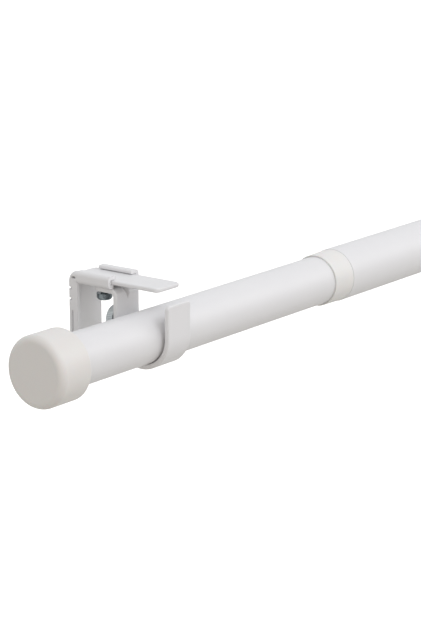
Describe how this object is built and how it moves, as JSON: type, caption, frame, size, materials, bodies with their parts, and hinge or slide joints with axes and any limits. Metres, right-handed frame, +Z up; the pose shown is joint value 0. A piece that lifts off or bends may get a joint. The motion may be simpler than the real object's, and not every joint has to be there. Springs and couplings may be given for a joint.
{
  "type": "telescopic curtain rod",
  "caption": "White telescopic curtain rod with capped ends, held in depth-adjustable hook brackets that screw to the wall.",
  "frame": {"origin": "on the wall, midway between the two screw holes of the left bracket", "axes": "+X along the rod from the thin tube's cap to the thick tube's cap, +Y into the wall, +Z up"},
  "size_m": [0.8707, 0.0533, 0.0518],
  "materials": {
    "powder_coat": "satin",
    "moulding": "matte",
    "zinc": "satin"
  },
  "bodies": {
    "wall_bracket_left": {"wall_bracket_left": "powder_coat"},
    "thin_side": {"slide_plate_left": "powder_coat", "rod_holder_left": "powder_coat", "inner_tube": "powder_coat", "end_cap_left": "moulding", "glide_plug": "moulding"},
    "thick_side": {"outer_tube": "powder_coat", "joint_collar": "moulding", "end_cap_right": "moulding", "rod_holder_right": "powder_coat", "slide_plate_right": "powder_coat"},
    "wall_bracket_right": {"wall_bracket_right": "powder_coat"},
    "clamp_screw_left": {"clamp_screw_left": "zinc"},
    "clamp_screw_right": {"clamp_screw_right": "zinc"},
    "lock_screw_left": {"lock_screw_left": "zinc"},
    "lock_screw_right": {"lock_screw_right": "zinc"}
  },
  "joints": [
    {"name": "depth_left", "type": "slide", "parent": "wall_bracket_left", "child": "thin_side", "axis": [0, 1, 0], "range_m": [-0.01, 0]},
    {"name": "telescope", "type": "slide", "parent": "thin_side", "child": "thick_side", "axis": [1, 0, 0], "range_m": [-0.1, 0.329]},
    {"name": "depth_right", "type": "slide", "parent": "thick_side", "child": "wall_bracket_right", "axis": [0, 1, 0], "range_m": [0, 0.01]},
    {"name": "clamp_turn_left", "type": "hinge", "parent": "thin_side", "child": "clamp_screw_left", "pos_m": [0, -0.0122, 0.027], "axis": [0, 0, 1], "continuous": true},
    {"name": "clamp_turn_right", "type": "hinge", "parent": "thick_side", "child": "clamp_screw_right", "pos_m": [0.7227, -0.0122, 0.0257], "axis": [0, 0, 1], "continuous": true},
    {"name": "lock_turn_left", "type": "hinge", "parent": "thin_side", "child": "lock_screw_left", "pos_m": [0, -0.022, 0.0175], "axis": [0, 1, 0], "continuous": true},
    {"name": "lock_turn_right", "type": "hinge", "parent": "thick_side", "child": "lock_screw_right", "pos_m": [0.7227, -0.022, 0.0162], "axis": [0, 1, 0], "continuous": true}
  ],
  "couplings": [
    {"joint": "depth_right", "follows": "depth_left", "ratio": -1}
  ]
}
